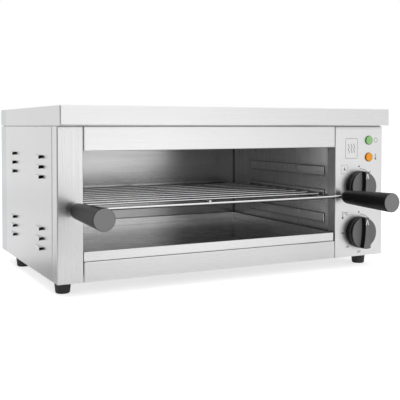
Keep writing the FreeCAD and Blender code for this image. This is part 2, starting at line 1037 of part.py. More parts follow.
def knob_ridge(height):
    """Waisted finger grip across the knob. Its narrow end points up at rest."""
    front = knob_face - knob_grip_height
    root = knob_face + knob_dish + knob_root
    axis = base + height
    rows = [
        (knob_grip_tip, axis + knob_grip_radius),
        (knob_grip_waist, axis),
        (knob_grip_tail, axis - knob_grip_radius),
    ]
    right = [point(control_axis + wide, front, z) for wide, z in rows]
    left = [point(control_axis - wide, front, z) for wide, z in reversed(rows)]
    edges = [smooth(right), line(right[-1], left[0]), smooth(left), line(left[-1], right[0])]
    wedge = Part.Face(Part.Wire(edges)).extrude(y_way * (root - front))
    drum = rod(control_centre(height, front), control_centre(height, root), knob_grip_radius)
    ridge = wedge.common(drum)
    return rounded(ridge, knob_edge, lambda edge: on_plane(edge, 1, front))


def make_knob(height, shaft):
    floor = knob_back - knob_hollow_depth
    hollow = rod(control_centre(height, overrun), control_centre(height, floor), knob_radius - knob_wall)
    hub = rod(control_centre(height, overrun), control_centre(height, floor), knob_hub_radius)
    return knob_drum(height).fuse(knob_ridge(height)).cut(hollow.cut(hub)).cut(shaft)


# Lamps

def lamp_centre(height, y):
    return point(control_axis + lamp_offset, y, base + height)


def make_lens(height):
    return button(lamp_centre(height, 0), lamp_centre(height, -lens_height), lens_radius, lens_edge)


def make_lamp_bodies():
    bodies = []
    for height in (green_lamp_height, orange_lamp_height):
        body = rod(lamp_centre(height, 0), lamp_centre(height, lamp_depth), lamp_radius)
        nut = hexagon(lamp_centre(height, sheet), y_way, lamp_nut_radius, lamp_nut_height)
        bodies.append(body.fuse(nut))
    return bodies


# Control compartment

def make_heat_shield():
    x = opening_right + liner_flange + shield_gap
    y = (liner_front + shield_margin, liner_back_line - shield_margin)
    plate = block((x, x + sheet), y, (base_top, body_top - shield_drop))
    foot = block((x, x + shield_foot), y, (base_top, base_top + sheet))
    return plate.fuse(foot)


def make_terminal_block():
    x = around(control_axis, terminal_width)
    back = liner_back_line - terminal_back_gap
    top = base_top + terminal_height
    body = block(x, (back - terminal_depth, back), (base_top, top))
    pitch = terminal_width / terminal_ways
    wells = []
    for k in range(terminal_ways):
        place = point(x[0] + pitch / 2 + k * pitch, back - terminal_depth / 2, top)
        wells.append(rod(place, place - z_way * terminal_well_depth, terminal_well))
    return body.cut(wells)


def make_cutout():
    """Thermal cutout on top of the reflector: a round body on a plate with two ears."""
    y = liner_back_line - cutout_back_gap
    seat = point(opening_right - cutout_side, y, reflector_bottom + sheet)
    disc = rod(seat, seat + z_way * cutout_height, cutout_radius)
    ears = block(
        around(seat.x, cutout_ear_length),
        around(seat.y, cutout_ear_width),
        (seat.z, seat.z + sheet),
    )
    return disc.fuse(ears)


def make_earth_stud():
    seat = point(control_axis, liner_back_line - stud_back_gap, base_top)
    stud = rod(seat, seat + z_way * stud_height, stud_radius)
    nut_seat = seat + z_way * foot_nut_height
    nut = hexagon(nut_seat, z_way, foot_nut_radius, foot_nut_height)
    return stud.fuse(nut)


def make_leads():
    """Insulated leads between the terminal block, the controls and the elements."""
    can_back = sheet + control_plate_sheet + timer_can_depth
    box_back = sheet + control_plate_sheet + thermostat_depth
    block_front = liner_back_line - terminal_back_gap - terminal_depth
    pin_x = opening_right + element_tail + element_pin_length
    low = base_top + terminal_height / 2
    thermostat_z = base + thermostat_height
    timer_z = base + timer_height
    first = control_axis - lead_step
    second = control_axis + lead_step
    near = pin_x + lead_offset
    far = near + lead_step
    legs = terminal_legs()
    routes = [
        [
            point(first, block_front, low),
            point(first, box_back + lead_run, low),
            point(first, box_back + lead_run, thermostat_z + lead_step),
            point(first, box_back, thermostat_z + lead_step),
        ],
        [
            point(second, block_front, low),
            point(second, block_front - lead_run, low),
            point(second, block_front - lead_run, timer_z),
            point(second, can_back, timer_z),
        ],
        [
            point(pin_x, legs[1], element_level),
            point(near, legs[1], element_level),
            point(near, legs[1], timer_z),
            point(near, can_back, timer_z),
        ],
        [
            point(pin_x, legs[2], element_level),
            point(far, legs[2], element_level),
            point(far, legs[2], timer_z),
            point(far, can_back, timer_z),
        ],
    ]
    return [bent_rod(route, lead_bend, lead_radius) for route in routes]


def make_gland():
    """Cable gland through the back panel: dome, hexagon, thread and inner nut."""
    outside = gland_centre(body_depth)
    inside = gland_centre(casing_back)
    nut_start = gland_centre(casing_back - gland_nut_height)
    end = gland_centre(gland_face)
    pieces = [
        hexagon(outside, y_way, gland_nut_radius, gland_nut_height),
        rod(inside, outside, gland_radius),
        hexagon(nut_start, y_way, gland_nut_radius, gland_nut_height),
    ]
    body = button(outside, end, gland_radius, gland_edge).fuse(pieces)
    return body.cut(rod(nut_start - y_way * overrun, end + y_way * overrun, gland_bore))


def main():
    os.makedirs("parts", exist_ok=True)
    save("top_cover", [make_top_cover()])
    save("top_frame", [make_top_frame()])
    save("left_side_panel", [make_side_panel(-1)])
    save("right_side_panel", [make_side_panel(1)])
    save("back_panel", [make_back_panel()])
    save("back_panel_screws", make_back_screws())
    save("cover_screws", make_cover_screws())
    save("base_pan", [make_base_pan()])
    save("front_post_left", [make_front_post()])
    save("top_apron", [make_top_apron()])
    save("lower_apron", [make_lower_apron()])
    save("control_panel", [make_control_panel()])

    foot_names = ("foot_front_left", "foot_back_left", "foot_front_right", "foot_back_right")
    for name, centre in zip(foot_names, foot_places()):
        save(name, [make_foot(centre)])
    save("foot_screws", [make_foot_screw(centre) for centre in foot_places()])
    save("foot_nuts", [make_foot_nut(centre) for centre in foot_places()])

    save("liner_left", [make_liner_side(-1)])
    save("liner_right", [make_liner_side(1)])
    save("liner_back", [make_liner_back()])
    save("liner_floor", [make_liner_floor()])
    save("reflector", [make_reflector()])
    save("grid_runner_left", [make_runner(-1)])
    save("grid_runner_right", [make_runner(1)])

    front_bar = make_front_bar()
    save("grid_front_bar", [front_bar])
    grid_frame = make_grid_frame(front_bar)
    save("grid_frame", [grid_frame])
    save("grid_brace", [make_grid_brace(grid_frame)])
    save("grid_wires", make_grid_wires())
    save("handle_grip_left", [make_grip(-1, front_bar)])
    save("handle_grip_right", [make_grip(1, front_bar)])
    save("crumb_tray", [make_tray()])

    save("heating_element_front", [make_element(0)])
    save("heating_element_back", [make_element(element_legs)])
    save("element_fittings", make_fittings())
    save("element_hangers", make_hangers())
    save("thermostat_bulb", [make_bulb()])
    save("bulb_clips", make_bulb_clips())
    save("thermostat_capillary", [make_capillary()])

    timer_shaft = make_shaft(timer_height)
    thermostat_shaft = make_shaft(thermostat_height)
    save("timer_shaft", [timer_shaft])
    save("thermostat_shaft", [thermostat_shaft])
    save("timer_knob", [make_knob(timer_height, timer_shaft)])
    save("thermostat_knob", [make_knob(thermostat_height, thermostat_shaft)])
    save("timer_body", [make_timer_body()])
    save("thermostat_body", [make_thermostat_body()])
    save("control_screws", make_control_screws())

    save("green_lamp_lens", [make_lens(green_lamp_height)])
    save("orange_lamp_lens", [make_lens(orange_lamp_height)])
    save("lamp_bodies", make_lamp_bodies())

    save("heat_shield", [make_heat_shield()])
    save("terminal_block", [make_terminal_block()])
    save("thermal_cutout", [make_cutout()])
    save("earth_stud", [make_earth_stud()])
    save("lead_wires", make_leads())
    save("cable_gland", [make_gland()])


main()
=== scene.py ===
import json
import math

import bpy
from mathutils import Euler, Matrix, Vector


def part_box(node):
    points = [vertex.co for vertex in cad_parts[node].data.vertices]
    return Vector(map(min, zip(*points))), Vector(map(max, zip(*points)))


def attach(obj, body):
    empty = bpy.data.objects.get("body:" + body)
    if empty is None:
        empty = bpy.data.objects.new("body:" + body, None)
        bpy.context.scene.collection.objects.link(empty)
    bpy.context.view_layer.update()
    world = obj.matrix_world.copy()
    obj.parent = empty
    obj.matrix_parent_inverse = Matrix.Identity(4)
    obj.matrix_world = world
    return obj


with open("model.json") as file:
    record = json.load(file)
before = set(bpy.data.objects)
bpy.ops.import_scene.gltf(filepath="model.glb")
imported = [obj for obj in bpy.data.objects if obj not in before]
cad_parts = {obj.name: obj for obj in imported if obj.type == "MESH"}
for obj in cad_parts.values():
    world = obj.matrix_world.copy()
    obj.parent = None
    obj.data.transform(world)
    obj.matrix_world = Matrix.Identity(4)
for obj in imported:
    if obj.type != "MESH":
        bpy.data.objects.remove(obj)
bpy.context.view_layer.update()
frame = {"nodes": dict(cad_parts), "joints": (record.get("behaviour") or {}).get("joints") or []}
nodes = frame["nodes"]

# Lengths are in metres, with x to the right, y to the back and z up. MM turns millimetres into metres.
MM = 0.001

# Ways that a surface can face
LEFT = (-1.0, 0.0, 0.0)
FORWARD = (0.0, -1.0, 0.0)
UP = (0.0, 0.0, 1.0)
DOWN = (0.0, 0.0, -1.0)


def knob_centre(joint_name):
    """Point (x, z) that a knob turns round."""
    joint = next(joint for joint in frame["joints"] if joint["name"] == joint_name)
    place = joint["pos_m"]
    return (place[0], place[2])


# Where the CAD pieces are
panel_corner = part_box("control_panel")[0]
FRONT = panel_corner.y
BASE = panel_corner.z
RIB_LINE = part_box("liner_right")[0].x
GRID_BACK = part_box("grid_frame")[1].y
TIMER_CENTRE = knob_centre("timer_turn")
THERMOSTAT_CENTRE = knob_centre("thermostat_turn")

# Camera, from the photograph's straight edges. Angles are in degrees, lens and sensor in millimetres.
CAMERA_PLACE = (-0.60288, -1.17788, 0.25069)
CAMERA_YAW = 26.954
CAMERA_PITCH = 1.357
CAMERA_LENS = 67.12
CAMERA_SENSOR = 36.0
CAMERA_SHIFT_Y = -0.1395

# Brushed steel: fine lines, broader streaks and clouds, all but the clouds drawn out along the grain
BRUSH_LINE_SCALE = 1800.0
BRUSH_LINE_DEPTH = 0.02 * MM
BRUSH_LINE_BUMP = 0.05
BRUSH_LINE_DULLNESS = 0.04
BRUSH_SQUEEZE = 0.004
STREAK_RANGE = (0.32, 0.68)
CLOUD_SCALE = 9.0
CLOUD_SHARES = (0.95, 1.05)

# Moulded plastic: how far its grain changes the roughness, and the strength of its bump
GRAIN_DULLNESS = 0.05
GRAIN_BUMP = 0.3

# Painted shade in narrow gaps: openness at which a gap is painted black, and at which it isn't darkened
# further
PAINTED_GAP_SHADE_RANGE = (0.02, 0.2)
OPENNESS_SAMPLES = 8

# Painted reflection: the back of the left side is painted a little darker and bluer, behind a straight line
REFLECTION_STRIP_LINE = FRONT + 328.0 * MM
REFLECTION_STRIP_TINT = (0.86, 0.89, 0.92)

# Changes of tone or dullness in the cavity: an axis, the two values and the two places on the axis.
# The tone changes are painted light and shade. The side walls are painted brighter toward the front,
# and are glossier there. The faces of the right wall's ribs, and what lies to the left of them, are
# painted a little brighter. The back wall is painted darker at the right, as painted shade.
PAINTED_WALL_FRONT_LIGHT = ("Y", 1.25, 1.0, FRONT + 30.0 * MM, FRONT + 160.0 * MM)
WALL_FRONT_DULLER = ("Y", 0.5, 1.0, FRONT + 30.0 * MM, FRONT + 130.0 * MM)
PAINTED_RIB_LIGHT = ("X", 1.08, 1.0, RIB_LINE + 0.6 * MM, RIB_LINE + 1.4 * MM)
PAINTED_BACK_RIGHT_SHADE = ("X", 1.0, 0.68, -10.0 * MM, 75.0 * MM)

# Painted shade: the wires of the grid are painted dark underneath, and the rail at its back is painted dark
# all round
PAINTED_WIRE_UNDERSIDE_SHADE = 0.1
PAINTED_BACK_RAIL_SHADE = ("Y", 1.0, 0.12, GRID_BACK - 6.0 * MM, GRID_BACK - 4.5 * MM)

# Printing on the control panel
INK_HEIGHT = 0.06 * MM
LINE = 0.6 * MM
DISC_SIDES = 20
LETTER_STEPS = 3

# Marks round a knob
DOT_RADIUS = 1.5 * MM
DOT_REACH = 35.5 * MM
ARC_REACH = 31.5 * MM
ARC_START = 3
ARC_END = 55
NUMBER_REACH = 35.5 * MM
NUMBER_SIZE = 5.2 * MM

# Places of the signs on the panel, as (x, z)
CLOCK_PLACE = (215.8 * MM, BASE + 154.5 * MM)
THERMOMETER_PLACE = (212.3 * MM, BASE + 73.6 * MM)
DEGREES_PLACE = (219.4 * MM, BASE + 76.0 * MM)
GREEN_SIGN_PLACE = (285.3 * MM, BASE + 205.4 * MM)
ORANGE_SIGN_PLACE = (284.8 * MM, BASE + 175.4 * MM)
BADGE_PLACE = (231.1 * MM, BASE + 191.0 * MM)

# Studio. ROOM_LIGHT is its light on what isn't metal. Metal shows the studio darker in three cones:
# azimuth from the front in degrees, rise, level, and the half angles at which a cone starts and is full.
ROOM_LIGHT = 0.6
DARK_ROOM = (-20.0, 0.05, 0.02, 25.0, 9.0)
LEFT_WALL = (-90.0, 0.25, 0.2, 50.0, 36.0)
RIGHT_WALL = (62.0, 0.1, 0.72, 42.0, 22.0)

# Floor. Metal shows the cones on it from ROOM_RANGE outward, its glow from FAR_RANGE outward, and less
# of its glow beside and behind the object, from SIDE_RANGE backward.
FLOOR_SIZE = 30.0
FLOOR_TONE = 0.8
FLOOR_GLOW = 0.62
ROOM_RANGE = (0.45, 0.9)
FAR_GLOW = 0.8
FAR_RANGE = (0.6, 2.6)
SIDE_GLOW = 0.39
SIDE_RANGE = (-0.2, 0.0)

# Painted shadow: a darker patch of the floor that metal shows, beside the object's left side
PAINTED_SHADOW_PLACE = (-0.4, 0.03, 0.0)
PAINTED_SHADOW_SQUEEZE = (1.8, 1.0, 1.0)
PAINTED_SHADOW_RANGE = (0.05, 0.27)
PAINTED_SHADOW_LEVEL = 0.45

# Softboxes: place, the point that they face, size and power in watts
FRONT_SOFTBOX = ((0.5, -2.4, 1.1), (0.0, 0.0, 0.15), 1.8, 18.0)
TOP_SOFTBOX = ((-0.4, -0.2, 2.2), (0.0, 0.0, 0.1), 2.0, 24.0)

# Numbers of a Mix node's two inputs and its output, by kind of value, because their names repeat
MIX_SOCKETS = {"FLOAT": (2, 3, 0), "RGBA": (6, 7, 2)}


def new_object(name, data):
    """Object in the scene, made from a mesh, a curve, a lamp or a camera."""
    made = bpy.data.objects.new(name, data)
    bpy.context.scene.collection.objects.link(made)
    return made


def grey(value):
    return (value, value, value)


# Nodes that values and colours are worked out with

def material(name):
    """New material, with its node tree and its shader."""
    made = bpy.data.materials.new(name)
    made.use_nodes = True
    tree = made.node_tree
    shader = tree.nodes["Principled BSDF"]
    return made, tree, shader


def fill(tree, socket, source):
    """Links a socket to a node's output, or sets it to a colour or a number."""
    if isinstance(source, bpy.types.NodeSocket):
        tree.links.new(source, socket)
    elif isinstance(source, tuple):
        socket.default_value = (*source, 1.0)
    else:
        socket.default_value = source


def noise(tree, scale, detail=2.0, roughness=0.5, squeeze=(1.0, 1.0, 1.0)):
    """Noise in object space. A squeeze under 1 along an axis draws the noise out there."""
    place = tree.nodes.new("ShaderNodeTexCoord")
    mapping = tree.nodes.new("ShaderNodeMapping")
    mapping.inputs["Scale"].default_value = squeeze
    texture = tree.nodes.new("ShaderNodeTexNoise")
    texture.inputs["Scale"].default_value = scale
    texture.inputs["Detail"].default_value = detail
    texture.inputs["Roughness"].default_value = roughness
    tree.links.new(place.outputs["Object"], mapping.inputs["Vector"])
    tree.links.new(mapping.outputs["Vector"], texture.inputs["Vector"])
    return texture.outputs["Fac"]


def ramp(tree, source, low, high, start=0.3, end=0.7, smooth=False):
    """Value that goes from low to high as the source goes from start to end."""
    node = tree.nodes.new("ShaderNodeMapRange")
    node.inputs["From Min"].default_value = start
    node.inputs["From Max"].default_value = end
    node.inputs["To Min"].default_value = low
    node.inputs["To Max"].default_value = high
    if smooth:
        node.interpolation_type = "SMOOTHSTEP"
    tree.links.new(source, node.inputs["Value"])
    return node.outputs["Result"]


def along(tree, axis, low, high, start, end):
    """Value that goes from low to high between two places on an axis, X, Y or Z."""
    place = tree.nodes.new("ShaderNodeTexCoord")
    parts = tree.nodes.new("ShaderNodeSeparateXYZ")
    tree.links.new(place.outputs["Object"], parts.inputs["Vector"])
    return ramp(tree, parts.outputs[axis], low, high, start, end)


def combined(tree, operation, values):
    """Values put together one after the other by a math operation."""
    result = values[0]
    for value in values[1:]:
        node = tree.nodes.new("ShaderNodeMath")
        node.operation = operation
        tree.links.new(result, node.inputs[0])
        tree.links.new(value, node.inputs[1])
        result = node.outputs["Value"]
    return result


def any_of(tree, *values):
    """Largest of the values, so 1 where one of them is 1."""
    return combined(tree, "MAXIMUM", values)


def times(tree, *values):
    """Product of the values."""
    return combined(tree, "MULTIPLY", values)


def vector_node(tree, operation, source, other=None):
    """Vector Math node on a source and, where one is given, a fixed second vector."""
    node = tree.nodes.new("ShaderNodeVectorMath")
    node.operation = operation
    tree.links.new(source, node.inputs[0])
    if other is not None:
        node.inputs[1].default_value = other
    return node


def scaled(tree, colour, share):
    """Colour times a share."""
    node = vector_node(tree, "SCALE", colour)
    tree.links.new(share, node.inputs["Scale"])
    return node.outputs["Vector"]


def facing_share(tree, way, start=0.8, end=0.97):
    """1 where a surface faces a way, 0 where it doesn't. start and end are cosines between the two."""
    place = tree.nodes.new("ShaderNodeTexCoord")
    facing = vector_node(tree, "DOT_PRODUCT", place.outputs["Normal"], way)
    return ramp(tree, facing.outputs["Value"], 0.0, 1.0, start, end)


def mixed(tree, kind, share, first, second):
    """Output of a Mix node of a kind, FLOAT or RGBA."""
    node = tree.nodes.new("ShaderNodeMix")
    node.data_type = kind
    low, high, result = MIX_SOCKETS[kind]
    tree.links.new(share, node.inputs["Factor"])
    fill(tree, node.inputs[low], first)
    fill(tree, node.inputs[high], second)
    return node.outputs[result]


def choice(tree, share, first, second):
    """Value that goes from first to second with a share."""
    return mixed(tree, "FLOAT", share, first, second)


def blend(tree, share, first, second):
    """Colour that goes from first to second with a share."""
    return mixed(tree, "RGBA", share, first, second)


def colours(tree, source, dark, light, start=0.3, end=0.7):
    """Colour between two ends, by a value."""
    node = tree.nodes.new("ShaderNodeValToRGB")
    first, last = node.color_ramp.elements
    first.position = start
    first.color = (*dark, 1.0)
    last.position = end
    last.color = (*light, 1.0)
    tree.links.new(source, node.inputs["Fac"])
    return node.outputs["Color"]


def bump(tree, shader, source, strength, distance):
    node = tree.nodes.new("ShaderNodeBump")
    node.inputs["Strength"].default_value = strength
    node.inputs["Distance"].default_value = distance
    tree.links.new(source, node.inputs["Height"])
    tree.links.new(node.outputs["Normal"], shader.inputs["Normal"])


def painted_crevice_shade(tree, reach, darkest, span):
    """Painted shade: 1 on open surfaces, going down to darkest in corners, and to 0 far into narrow gaps."""
    node = tree.nodes.new("ShaderNodeAmbientOcclusion")
    node.samples = OPENNESS_SAMPLES
    node.inputs["Distance"].default_value = reach
    openness = node.outputs["AO"]
    corner = ramp(tree, openness, darkest, 1.0, *span)
    gap = ramp(tree, openness, 0.0, 1.0, *PAINTED_GAP_SHADE_RANGE)
    return times(tree, corner, gap)


def painted_back_reflection(tree, steel):
    """Colour of sheet steel with a painted reflection, a little darker and bluer along the back of the
    object's left side.
    """
    behind = along(tree, "Y", 0.0, 1.0, REFLECTION_STRIP_LINE - MM, REFLECTION_STRIP_LINE + MM)
    strip = times(tree, facing_share(tree, LEFT), behind)
    tinted = vector_node(tree, "MULTIPLY", steel, REFLECTION_STRIP_TINT)
    return blend(tree, strip, steel, tinted.outputs["Vector"])


# Materials

def brushed_steel(name, grain, tone, spread, roughness, tint=(1.0, 1.0, 1.0), width=4.0 * MM, reach=4.0 * MM,
                  darkest=0.7, span=(0.25, 0.85), side=1.0, top=1.0, strip=False, shares=(), duller=None):
    """Sheet steel with brush lines along one axis, x, y or z.

    width is that of the broad streaks, and reach, darkest and span say how painted shade darkens corners
    and gaps. side and top are the tone's shares on surfaces that face left and up: painted shade on those
    faces. strip paints a reflection, a little darker and bluer, on the back of the left side. shares are
    changes of tone along an axis, painted light and shade, and duller is one of roughness.
    """
    made, tree, shader = material(name)
    squeeze = tuple(BRUSH_SQUEEZE if axis == grain else 1.0 for axis in "xyz")
    lines = noise(tree, BRUSH_LINE_SCALE, roughness=0.6, squeeze=squeeze)
    streaks = noise(tree, 1.0 / width, detail=5.0, roughness=0.75, squeeze=squeeze)
    clouds = noise(tree, CLOUD_SCALE)
    low = tuple(max(0.0, tone - spread) * part for part in tint)
    high = tuple(min(1.0, tone + spread) * part for part in tint)
    steel = colours(tree, streaks, low, high, *STREAK_RANGE)
    # Painted shade: surfaces that face left or up get a smaller share of the tone
    for share, way in ((side, LEFT), (top, UP)):
        if share < 1.0:
            steel = scaled(tree, steel, ramp(tree, facing_share(tree, way), 1.0, share, 0.0, 1.0))
    # Painted reflection, darker and bluer, on the back of the left side
    if strip:
        steel = painted_back_reflection(tree, steel)
    # Painted light and shade along an axis
    for change in shares:
        steel = scaled(tree, steel, along(tree, *change))
    # Painted shade in corners and gaps
    steel = scaled(tree, steel, painted_crevice_shade(tree, reach, darkest, span))
    dull = ramp(tree, lines, roughness - BRUSH_LINE_DULLNESS, roughness + BRUSH_LINE_DULLNESS)
    dull = times(tree, dull, ramp(tree, clouds, *CLOUD_SHARES))
    if duller:
        dull = times(tree, dull, along(tree, *duller))
    tree.links.new(steel, shader.inputs["Base Color"])
    tree.links.new(dull, shader.inputs["Roughness"])
    shader.inputs["Metallic"].default_value = 1.0
    bump(tree, shader, lines, BRUSH_LINE_BUMP, BRUSH_LINE_DEPTH)
    return made


def chrome(name):
    """Bright plated wire, a little duller in patches, with painted shade on its underside and all round the
    back rail.
    """
    made, tree, shader = material(name)
    patches = noise(tree, scale=160.0, detail=3.0, roughness=0.6)
    # Painted shade: the back rail of the grid darkened all round
    plate = scaled(tree, colours(tree, patches, grey(0.9), grey(0.99)), along(tree, *PAINTED_BACK_RAIL_SHADE))
    # Painted shade on the wires' underside
    under = facing_share(tree, DOWN, start=-0.1, end=0.35)
    tree.links.new(blend(tree, under, plate, grey(PAINTED_WIRE_UNDERSIDE_SHADE)), shader.inputs["Base Color"])
    tree.links.new(ramp(tree, patches, low=0.08, high=0.04), shader.inputs["Roughness"])
    shader.inputs["Metallic"].default_value = 1.0
    return made


def moulded(name, dark, light, roughness, grain_scale, grain_depth, face=None, gleam=0.5):
    """Plastic or rubber with a fine moulded grain. face is a lighter colour painted on the faces that look
    forward: a painted sheen on the dark plastic.
    """
    made, tree, shader = material(name)
    grain = noise(tree, grain_scale)
    clouds = noise(tree, scale=40.0, detail=3.0, roughness=0.55)
    colour = colours(tree, clouds, dark, light)
    # Painted sheen: faces that look forward get the lighter colour
    if face:
        colour = blend(tree, facing_share(tree, FORWARD), colour, face)
    tree.links.new(colour, shader.inputs["Base Color"])
    dull = ramp(tree, grain, roughness - GRAIN_DULLNESS, roughness + GRAIN_DULLNESS)
    tree.links.new(dull, shader.inputs["Roughness"])
    shader.inputs["Specular IOR Level"].default_value = gleam
    bump(tree, shader, grain, GRAIN_BUMP, grain_depth)
    return made


def lens_plastic(name, painted_rim_shade, pale):
    """Tinted cap over a lamp, with painted shade round its side, where it doesn't face forward."""
    made, tree, shader = material(name)
    ripples = noise(tree, scale=900.0)
    tone = colours(tree, ripples, pale, tuple(0.92 * part for part in pale))
    front = facing_share(tree, FORWARD, start=0.55, end=0.95)
    # Painted shade round the side
    tree.links.new(blend(tree, front, painted_rim_shade, tone), shader.inputs["Base Color"])
    tree.links.new(ramp(tree, ripples, low=0.22, high=0.3), shader.inputs["Roughness"])
    return made


def oxide(name):
    """Heat-darkened sheath of a heating element."""
    made, tree, shader = material(name)
    bands = noise(tree, scale=60.0, detail=4.0, roughness=0.6)
    scale_colour = colours(tree, bands, dark=(0.05, 0.05, 0.055), light=(0.14, 0.12, 0.1))
    tree.links.new(scale_colour, shader.inputs["Base Color"])
    tree.links.new(ramp(tree, bands, low=0.45, high=0.65), shader.inputs["Roughness"])
    shader.inputs["Metallic"].default_value = 0.6
    return made


def ink(name, tone):
    """Printing ink with a fine fleck."""
    made, tree, shader = material(name)
    fleck = noise(tree, scale=3000.0)
    tree.links.new(colours(tree, fleck, grey(tone), grey(tone * 1.4)), shader.inputs["Base Color"])
    shader.inputs["Roughness"].default_value = 0.6
    return made


def dress(made, *names):
    """Gives a material to CAD nodes."""
    for name in names:
        for holder in nodes[name].material_slots:
            holder.material = made


# Sheet steel outside
# Painted shade: the cover's left faces are darker
cover_steel = brushed_steel("cover_steel", grain="x", tone=0.92, spread=0.015, roughness=0.3,
                            side=0.725, strip=True)
dress(cover_steel, "top_cover", "top_apron", "reflector")
apron_steel = brushed_steel("apron_steel", grain="x", tone=0.85, spread=0.015, roughness=0.3)
dress(apron_steel, "lower_apron")
# Painted shade: the post's left face is darker
post_steel = brushed_steel("post_steel", grain="z", tone=0.86, spread=0.02, roughness=0.3, side=0.81)
dress(post_steel, "front_post_left")
# Shaded copy of the outside steel: painted shade on the sides, the back, the base and the ring in the gap
# under the cover
shaded_side_steel = brushed_steel("shaded_side_steel", grain="z", tone=0.64, spread=0.012, roughness=0.24, strip=True)
dress(shaded_side_steel, "left_side_panel", "right_side_panel", "back_panel", "base_pan", "top_frame")
# Painted shade reaching far round the knobs and into the jamb's gap
panel_steel = brushed_steel("panel_steel", grain="z", tone=0.95, spread=0.015, roughness=0.34,
                            reach=12.0 * MM, darkest=0.4)
dress(panel_steel, "control_panel")

# Sheet steel and wires in the cavity
# Painted light and shade: the side walls brighter toward the front and on the rib faces, and dark in corners
wall_steel = brushed_steel("wall_steel", grain="z", tone=0.75, spread=0.05, roughness=0.3, width=7.0 * MM,
                           reach=8.0 * MM, darkest=0.12, span=(0.5, 0.97),
                           shares=(PAINTED_WALL_FRONT_LIGHT, PAINTED_RIB_LIGHT), duller=WALL_FRONT_DULLER)
dress(wall_steel, "liner_left", "liner_right", "heat_shield")
# Painted shade: the back wall darker at the right and in corners
back_wall_steel = brushed_steel("back_wall_steel", grain="x", tone=0.64, spread=0.04, roughness=0.23,
                                darkest=0.35, shares=(PAINTED_BACK_RIGHT_SHADE,))
dress(back_wall_steel, "liner_back", "liner_floor")
# Painted shade: the tray's upward faces are darker
tray_steel = brushed_steel("tray_steel", grain="x", tone=0.92, spread=0.02, roughness=0.26, top=0.82)
dress(tray_steel, "crumb_tray")
# Painted shade: the runners are made dark, for the shade round the wire ends
runner_painted_shade_steel = brushed_steel("runner_painted_shade_steel", grain="y", tone=0.3, spread=0.05, roughness=0.35)
dress(runner_painted_shade_steel, "grid_runner_left", "grid_runner_right")
dress(chrome("grid_chrome"), "grid_front_bar", "grid_frame", "grid_brace", "grid_wires")

# Screws, shafts, fittings, the sensor and the heating elements
zinc_steel = brushed_steel("zinc_steel", grain="x", tone=0.6, spread=0.05, roughness=0.3)
dress(zinc_steel, "back_panel_screws", "cover_screws", "foot_screws", "foot_nuts", "control_screws",
      "bulb_clips", "element_fittings", "element_hangers", "timer_shaft", "thermostat_shaft", "earth_stud")
copper = brushed_steel("sensor_copper", grain="y", tone=0.8, spread=0.05, roughness=0.3,
                       tint=(0.95, 0.64, 0.5))
dress(copper, "thermostat_bulb", "thermostat_capillary")
dress(oxide("element_oxide"), "heating_element_front", "heating_element_back")

# Plastic and rubber
# Painted sheen on the grips' forward faces
grip_plastic = moulded("grip_plastic", grey(0.006), grey(0.01), roughness=0.4, grain_scale=1500.0,
                       grain_depth=0.05 * MM, face=grey(0.2), gleam=0.14)
dress(grip_plastic, "handle_grip_left", "handle_grip_right")
# Painted sheen on the knobs' forward faces
knob_plastic = moulded("knob_plastic", grey(0.006), grey(0.01), roughness=0.4, grain_scale=2200.0,
                       grain_depth=0.03 * MM, face=grey(0.17), gleam=0.12)
dress(knob_plastic, "timer_knob", "thermostat_knob")
rubber = moulded("foot_rubber", grey(0.03), grey(0.048), roughness=0.6, grain_scale=1200.0,
                 grain_depth=0.08 * MM)
dress(rubber, "foot_front_left", "foot_front_right", "foot_back_left", "foot_back_right")
dark_plastic = moulded("dark_plastic", grey(0.03), grey(0.045), roughness=0.45, grain_scale=1500.0,
                       grain_depth=0.05 * MM)
dress(dark_plastic, "lamp_bodies", "thermal_cutout", "cable_gland")
cream_plastic = moulded("inner_plastic", (0.5, 0.47, 0.4), (0.56, 0.53, 0.46), roughness=0.5,
                        grain_scale=1200.0, grain_depth=0.05 * MM)
dress(cream_plastic, "timer_body", "thermostat_body", "terminal_block")
silicone = moulded("lead_silicone", (0.4, 0.05, 0.03), (0.5, 0.08, 0.05), roughness=0.5,
                   grain_scale=1500.0, grain_depth=0.03 * MM)
dress(silicone, "lead_wires")
# Painted shade round the lenses' sides
dress(lens_plastic("green_lens", painted_rim_shade=(0.02, 0.12, 0.025), pale=(0.3, 0.6, 0.22)), "green_lamp_lens")
dress(lens_plastic("orange_lens", painted_rim_shade=(0.22, 0.05, 0.004), pale=(0.94, 0.35, 0.011)), "orange_lamp_lens")

panel_ink = ink("panel_ink", 0.05)
faint_ink = ink("faint_ink", 0.13)
pale_ink = ink("pale_ink", 0.36)
white_ink = ink("white_ink", 0.75)


# Printing: flat strokes on the panel's front and on the knobs. Places on them are (x, z).

def flat_mesh(name, outlines, y):
    """Raised flat shapes that face -y. Each outline is a convex ring of (x, z) points."""
    verts = []
    faces = []
    for ring in outlines:
        count = len(ring)
        start = len(verts)
        verts.extend((x, y, z) for x, z in ring)
        verts.extend((x, y - INK_HEIGHT, z) for x, z in ring)
        faces.append([start + k for k in range(count)])
        faces.append([start + count + k for k in reversed(range(count))])
        for k in range(count):
            after = (k + 1) % count
            faces.append([start + after, start + k, start + count + k, start + count + after])
    mesh = bpy.data.meshes.new(name)
    mesh.from_pydata(verts, [], faces)
    mesh.validate()
    mesh.update()
    return mesh


def printed(name, outlines, made, body="housing", y=FRONT):
    """Printed shapes in one ink, as a piece that rides on a body."""
    piece = new_object(name, flat_mesh(name, outlines, y))
    piece.data.materials.append(made)
    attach(piece, body)


